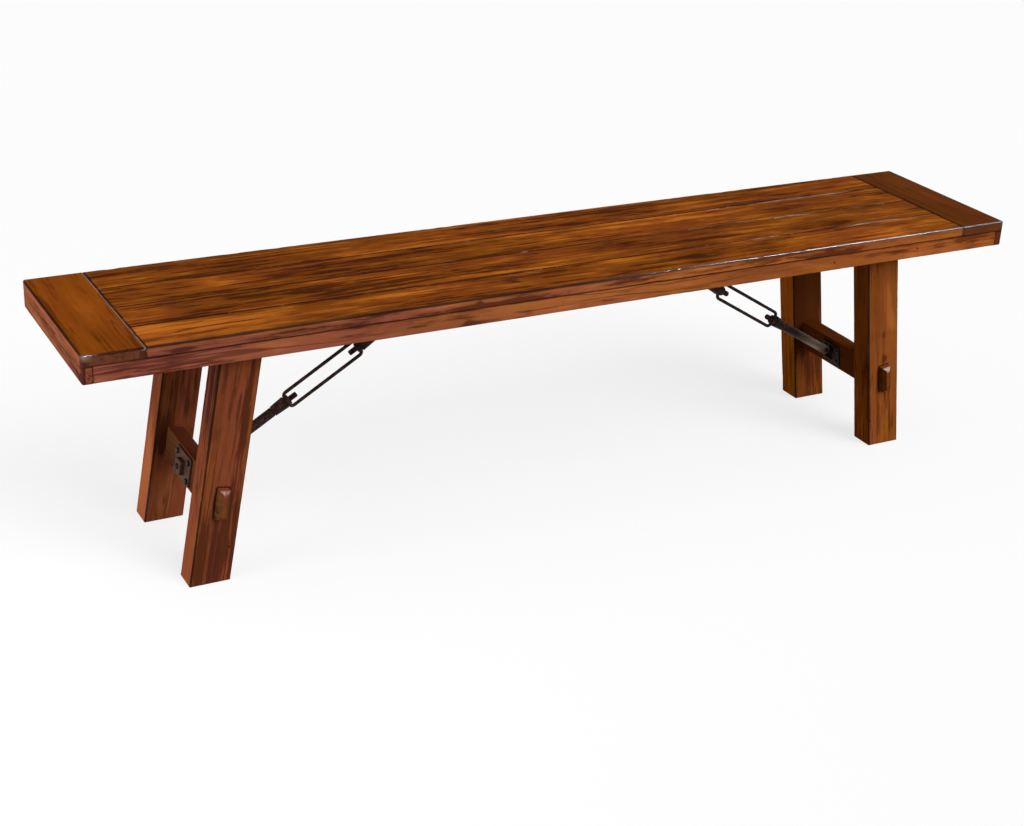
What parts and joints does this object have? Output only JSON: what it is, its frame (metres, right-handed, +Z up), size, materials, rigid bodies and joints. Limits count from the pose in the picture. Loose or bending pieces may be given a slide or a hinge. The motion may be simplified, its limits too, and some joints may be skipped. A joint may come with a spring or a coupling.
{
  "type": "dining bench",
  "caption": "Long dining bench with a planked seat and end boards, splayed legs tied by through-tenoned stretchers, and iron turnbuckle braces up to the seat",
  "frame": {"origin": "on the floor, under the middle of the seat", "axes": "+X along the seat, towards the picture's right end; +Y from front to back; +Z up"},
  "size_m": [1.8288, 0.3556, 0.4572],
  "materials": {
    "seat_wood": "amber-brown stained hardwood, satin lacquer, rubbed dark edges",
    "leg_wood": "reddish brown stained hardwood, satin lacquer, rubbed dark edges",
    "under_wood": "stained hardwood, thin matt sealer",
    "antique_iron": "dark brown-black antique iron, satin",
    "dark_steel": "blackened steel, satin"
  },
  "bodies": {
    "bench": {"seat_plank_1": "seat_wood", "seat_plank_2": "seat_wood", "seat_plank_3": "seat_wood", "seat_plank_4": "seat_wood", "left_end_board": "seat_wood", "right_end_board": "seat_wood", "front_edge_strip": "seat_wood", "back_edge_strip": "seat_wood", "left_end_strip": "seat_wood", "right_end_strip": "seat_wood", "left_front_leg": "leg_wood", "left_back_leg": "leg_wood", "left_stretcher": "leg_wood", "right_front_leg": "leg_wood", "right_back_leg": "leg_wood", "right_stretcher": "leg_wood", "left_leg_cleat": "under_wood", "left_bracket_batten": "under_wood", "right_leg_cleat": "under_wood", "right_bracket_batten": "under_wood", "left_lower_bracket": "antique_iron", "left_upper_bracket": "antique_iron", "left_backing_plate": "antique_iron", "left_square_nut": "antique_iron", "left_lower_rod": "antique_iron", "left_upper_rod": "antique_iron", "right_lower_bracket": "antique_iron", "right_upper_bracket": "antique_iron", "right_backing_plate": "antique_iron", "right_square_nut": "antique_iron", "right_lower_rod": "antique_iron", "right_upper_rod": "antique_iron", "pivot_pins": "dark_steel", "bracket_screws": "dark_steel", "backing_plate_bolts": "dark_steel", "cleat_bolts": "dark_steel", "batten_screws": "dark_steel"},
    "left_turnbuckle": {"left_turnbuckle_loop": "antique_iron", "left_lower_sleeve": "antique_iron", "left_upper_sleeve": "antique_iron"},
    "right_turnbuckle": {"right_turnbuckle_loop": "antique_iron", "right_lower_sleeve": "antique_iron", "right_upper_sleeve": "antique_iron"}
  },
  "joints": [
    {"name": "left_turnbuckle_turn", "type": "hinge", "parent": "bench", "child": "left_turnbuckle", "pos_m": [-0.44781, 0, 0.28198], "axis": [0.8549, 0, 0.5187], "range_deg": [-90, 90]},
    {"name": "right_turnbuckle_turn", "type": "hinge", "parent": "bench", "child": "right_turnbuckle", "pos_m": [0.44781, 0, 0.28198], "axis": [-0.8549, 0, 0.5187], "range_deg": [-90, 90]}
  ]
}
